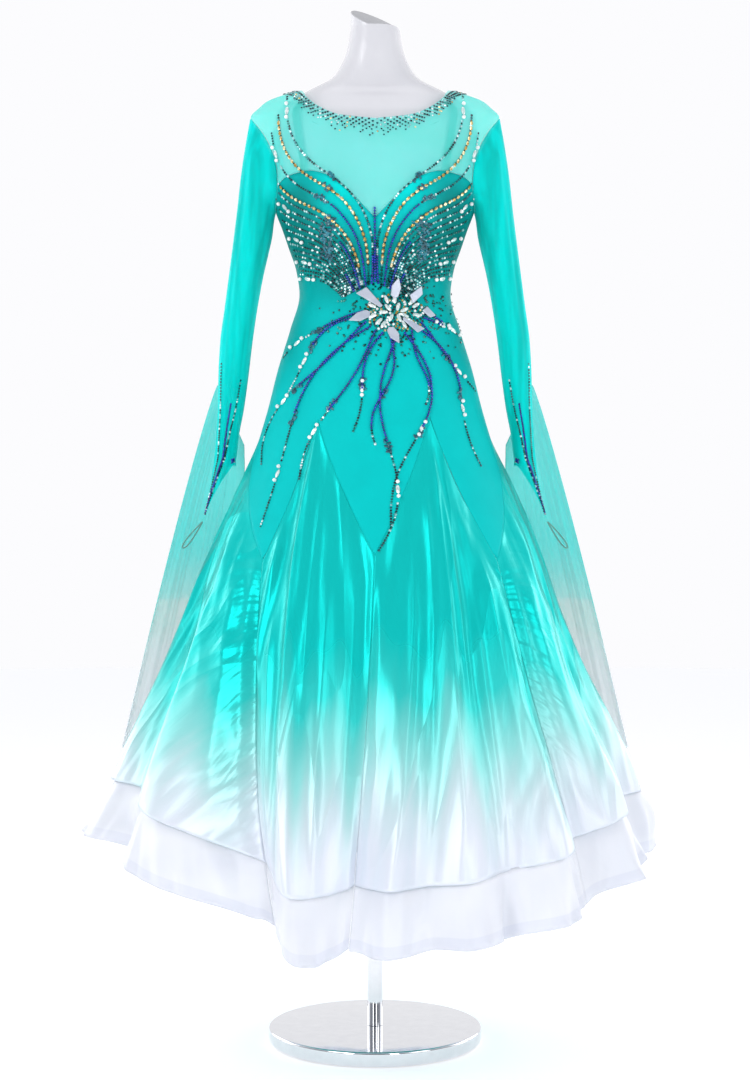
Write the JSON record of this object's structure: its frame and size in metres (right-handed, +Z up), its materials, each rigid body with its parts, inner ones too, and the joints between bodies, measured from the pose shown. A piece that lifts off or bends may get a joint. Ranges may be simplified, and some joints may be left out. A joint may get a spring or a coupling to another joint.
{
  "type": "ballroom dance dress on dress form",
  "caption": "Long-sleeved ballroom dance dress, teal fading to white, with beaded bodice, satin gored skirt and chiffon floats, standing on a white limbless dress form with a chrome stand",
  "frame": {"origin": "centre of the stand's underside, on the floor", "axes": "+Z up along the pole, -Y towards the dress's front, +X towards the wearer's left"},
  "size_m": [0.9008, 0.9158, 1.6242],
  "materials": {
    "chrome_plate": "mirror polished",
    "moulded_form": "glossy moulded fibreglass",
    "stretch_jersey": "stretch jersey with beadwork",
    "illusion_mesh": "sheer stretch mesh",
    "stretch_mesh": "stretch mesh",
    "chiffon": "soft chiffon dyed from teal to white",
    "liquid_satin": "shiny satin dyed from teal to white",
    "organza": "crisp white organza",
    "elastic": "covered elastic",
    "mirror_stone": "flat foil-backed stone"
  },
  "bodies": {
    "root": {"stand_base": "chrome_plate", "stand_pole": "chrome_plate", "dress_form": "moulded_form", "bodice_front": "stretch_jersey", "bodice_back": "stretch_jersey", "back_zip": "stretch_jersey", "yoke_front": "illusion_mesh", "yoke_back": "illusion_mesh", "strap_left": "elastic", "strap_right": "elastic", "sleeve_left": "stretch_mesh", "sleeve_right": "stretch_mesh", "float_left": "chiffon", "float_right": "chiffon", "finger_loop_left": "elastic", "finger_loop_right": "elastic", "skirt_side_right": "liquid_satin", "hem_band_side_right": "organza", "skirt_front_right": "liquid_satin", "hem_band_front_right": "organza", "skirt_front_left": "liquid_satin", "hem_band_front_left": "organza", "skirt_side_left": "liquid_satin", "hem_band_side_left": "organza", "skirt_back_left": "liquid_satin", "hem_band_back_left": "organza", "skirt_back_right": "liquid_satin", "hem_band_back_right": "organza", "brooch_stone_1": "mirror_stone", "brooch_stone_2": "mirror_stone", "brooch_stone_3": "mirror_stone", "brooch_stone_4": "mirror_stone", "brooch_stone_5": "mirror_stone", "brooch_stone_6": "mirror_stone", "brooch_stone_7": "mirror_stone"}
  },
  "joints": []
}
